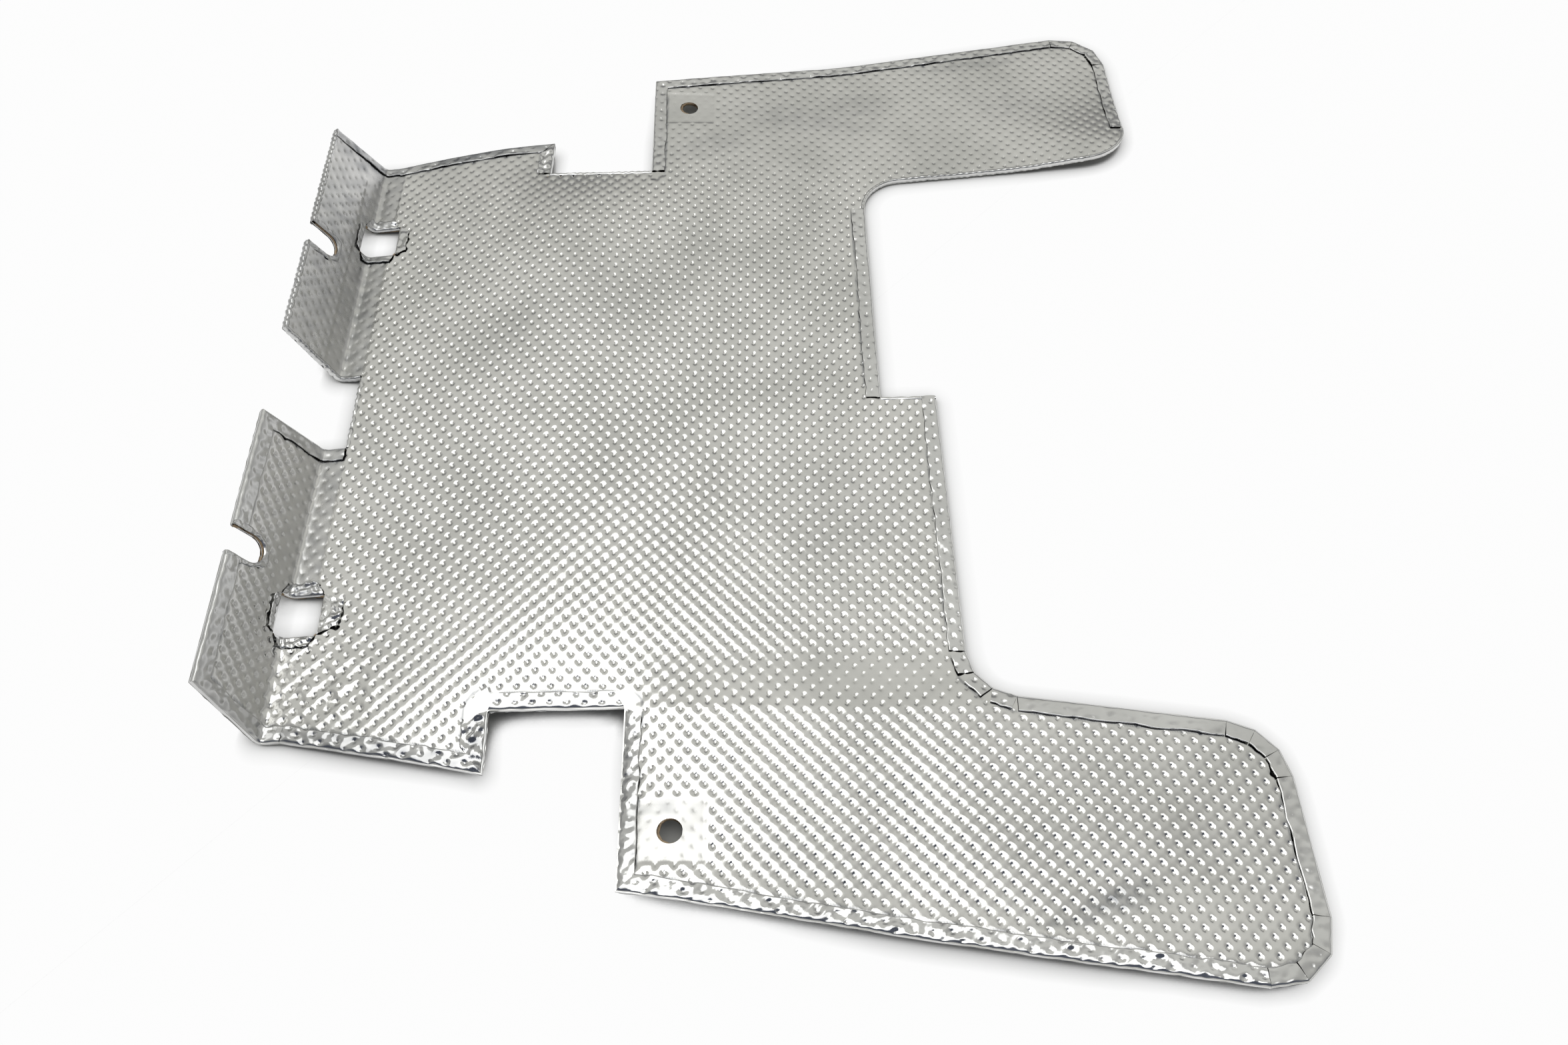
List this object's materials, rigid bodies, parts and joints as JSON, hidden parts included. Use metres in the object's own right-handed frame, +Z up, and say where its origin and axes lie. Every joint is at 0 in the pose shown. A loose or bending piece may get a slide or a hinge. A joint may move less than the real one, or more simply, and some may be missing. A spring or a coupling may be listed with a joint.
{
  "type": "storage box heat shield",
  "caption": "Folded embossed aluminium heat shield with a fibre core, hemmed edges, a split upturned flange and two side arms with fixing holes.",
  "frame": {"origin": "under the middle of the sheet's box, on the surface that it lies on", "axes": "+X from the fold across the sheet to the arm tips, +Y along the fold, +Z up, on the face's side"},
  "size_m": [0.4312, 0.5508, 0.0345],
  "materials": {
    "back_foil": "satin embossed",
    "fibre_mat": "matt fibre",
    "face_foil": "satin embossed"
  },
  "bodies": {
    "root": {"back_sheet": "back_foil", "core_mat": "fibre_mat", "face_sheet": "face_foil"}
  },
  "joints": []
}
